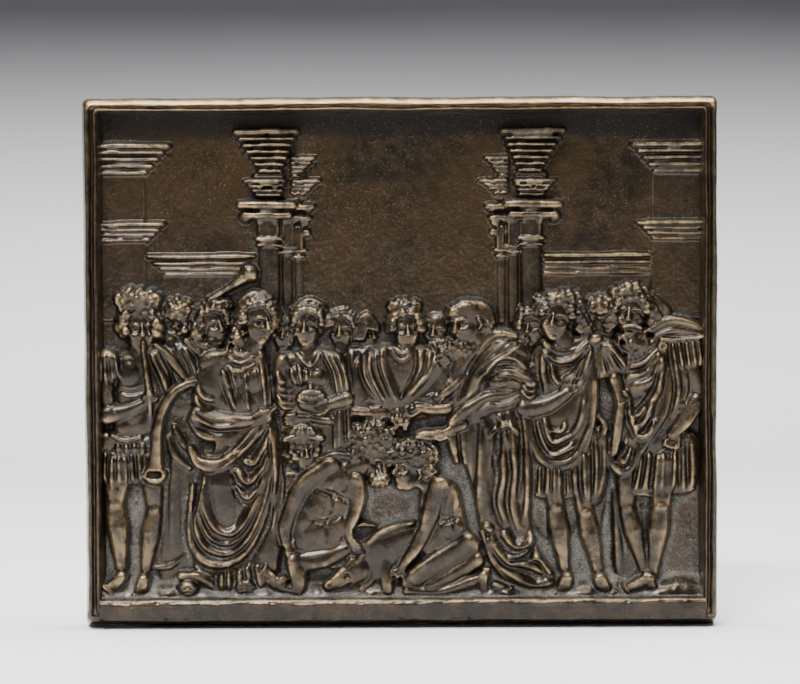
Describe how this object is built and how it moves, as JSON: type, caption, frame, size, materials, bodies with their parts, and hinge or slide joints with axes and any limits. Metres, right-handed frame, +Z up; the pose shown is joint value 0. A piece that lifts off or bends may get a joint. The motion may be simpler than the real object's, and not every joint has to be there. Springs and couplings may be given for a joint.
{
  "type": "relief plaque",
  "caption": "Small cast bronze relief plaque in a moulded frame: a crowd before two pillars, with two kneeling figures holding an animal between them.",
  "frame": {"origin": "centre of the flat back face, where the plaque is fixed to a wall or panel", "axes": "+X to the viewer's right along the plaque, +Z up, and the relief faces -Y, so the back face's outward normal is +Y"},
  "size_m": [0.12, 0.008, 0.1],
  "materials": {
    "bronze": "cast bronze with a dark olive-brown patina, rubbed to a warm brown on raised parts, pale dust in the hollows"
  },
  "bodies": {
    "root": {"plaque": "bronze"}
  },
  "joints": []
}
